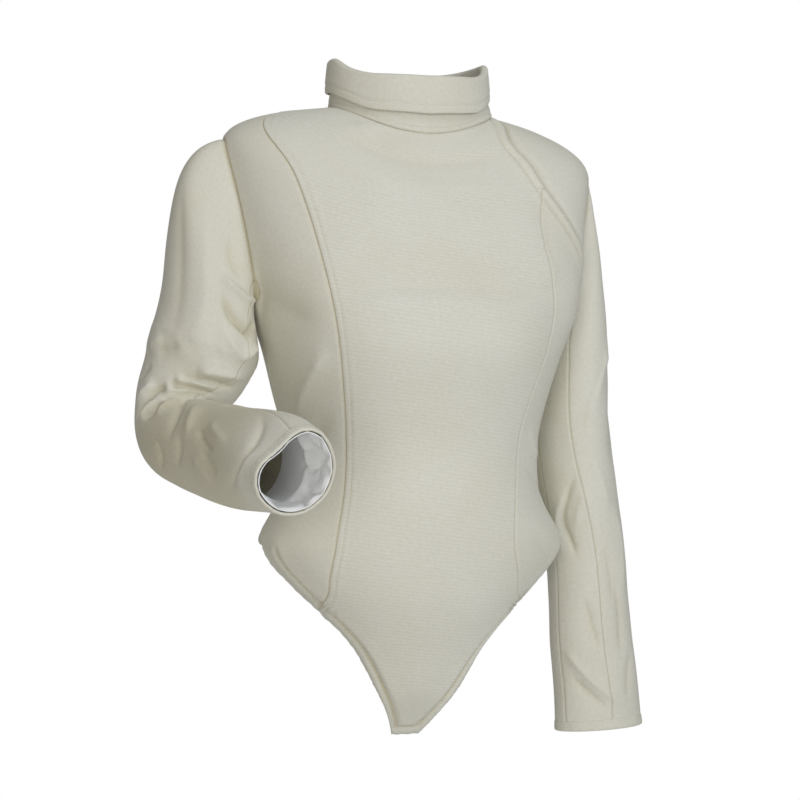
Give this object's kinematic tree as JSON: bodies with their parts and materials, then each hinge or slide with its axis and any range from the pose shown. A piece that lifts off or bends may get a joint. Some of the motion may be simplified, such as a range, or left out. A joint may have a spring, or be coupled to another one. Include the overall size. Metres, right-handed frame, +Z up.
{
  "type": "fencing jacket",
  "caption": "Cream canvas fencing jacket in worn form: stand collar, side closing, pointed front tongue, bent right sleeve and straight left sleeve, all hollow.",
  "frame": {"origin": "on the body's mid line, level with the sides of the neck opening, where the jacket hangs from its wearer's shoulders", "axes": "+Z up along the body, the front faces -Y, the wearer's left is +X"},
  "size_m": [0.5317, 0.3603, 0.6759],
  "materials": {
    "canvas": "matt woven canvas",
    "lining": "smooth woven lining"
  },
  "bodies": {
    "root": {"back_left": "canvas", "back_right": "canvas", "collar": "canvas", "cuff_hem_left": "canvas", "cuff_hem_right": "canvas", "cuff_lining_right": "lining", "front_panel": "canvas", "neckband": "canvas", "side_front_left": "canvas", "side_front_right": "canvas", "sleeve_left_fore": "canvas", "sleeve_left_outer": "canvas", "sleeve_left_under": "canvas", "sleeve_right_fore": "canvas", "sleeve_right_outer": "canvas", "sleeve_right_under": "canvas", "under_front_left": "canvas"}
  },
  "joints": []
}
